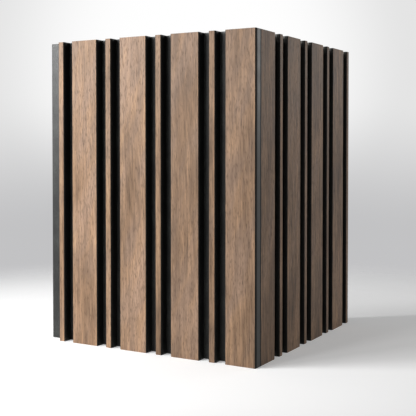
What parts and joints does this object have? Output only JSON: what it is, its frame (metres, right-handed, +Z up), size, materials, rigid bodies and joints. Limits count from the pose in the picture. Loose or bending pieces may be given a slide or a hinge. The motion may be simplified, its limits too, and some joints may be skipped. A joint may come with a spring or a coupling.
{
  "type": "slatted corner wall panel",
  "caption": "Wall panel for an outside corner: two felt-backed boards at a right angle carry wide and narrow wood-faced slats by turns, with black grooves between.",
  "frame": {"origin": "middle of the whole panel's box, at the bottom edge that it stands on", "axes": "+Z up along the slats, the left board faces -Y, the right board faces +X, the wall is on the +Y and -X side"},
  "size_m": [0.308, 0.32, 0.39],
  "materials": {
    "wood_veneer": "matt lacquered brown veneer with upright grain",
    "black_core": "satin black dyed fibreboard",
    "felt": "charcoal needle felt",
    "staple_wire": "bright zinc-coated wire"
  },
  "bodies": {
    "root": {"left_wide_slat_1_core": "black_core", "left_wide_slat_1_veneer": "wood_veneer", "left_narrow_slat_1_core": "black_core", "left_narrow_slat_1_veneer": "wood_veneer", "left_wide_slat_2_core": "black_core", "left_wide_slat_2_veneer": "wood_veneer", "left_narrow_slat_2_core": "black_core", "left_narrow_slat_2_veneer": "wood_veneer", "left_wide_slat_3_core": "black_core", "left_wide_slat_3_veneer": "wood_veneer", "left_narrow_slat_3_core": "black_core", "left_narrow_slat_3_veneer": "wood_veneer", "left_wide_slat_4_core": "black_core", "left_wide_slat_4_veneer": "wood_veneer", "left_narrow_slat_4_core": "black_core", "left_narrow_slat_4_veneer": "wood_veneer", "left_felt_backing": "felt", "left_staples": "staple_wire", "right_wide_slat_1_core": "black_core", "right_wide_slat_1_veneer": "wood_veneer", "right_narrow_slat_1_core": "black_core", "right_narrow_slat_1_veneer": "wood_veneer", "right_wide_slat_2_core": "black_core", "right_wide_slat_2_veneer": "wood_veneer", "right_narrow_slat_2_core": "black_core", "right_narrow_slat_2_veneer": "wood_veneer", "right_wide_slat_3_core": "black_core", "right_wide_slat_3_veneer": "wood_veneer", "right_narrow_slat_3_core": "black_core", "right_narrow_slat_3_veneer": "wood_veneer", "right_wide_slat_4_core": "black_core", "right_wide_slat_4_veneer": "wood_veneer", "right_narrow_slat_4_core": "black_core", "right_narrow_slat_4_veneer": "wood_veneer", "right_felt_backing": "felt", "right_staples": "staple_wire"}
  },
  "joints": []
}
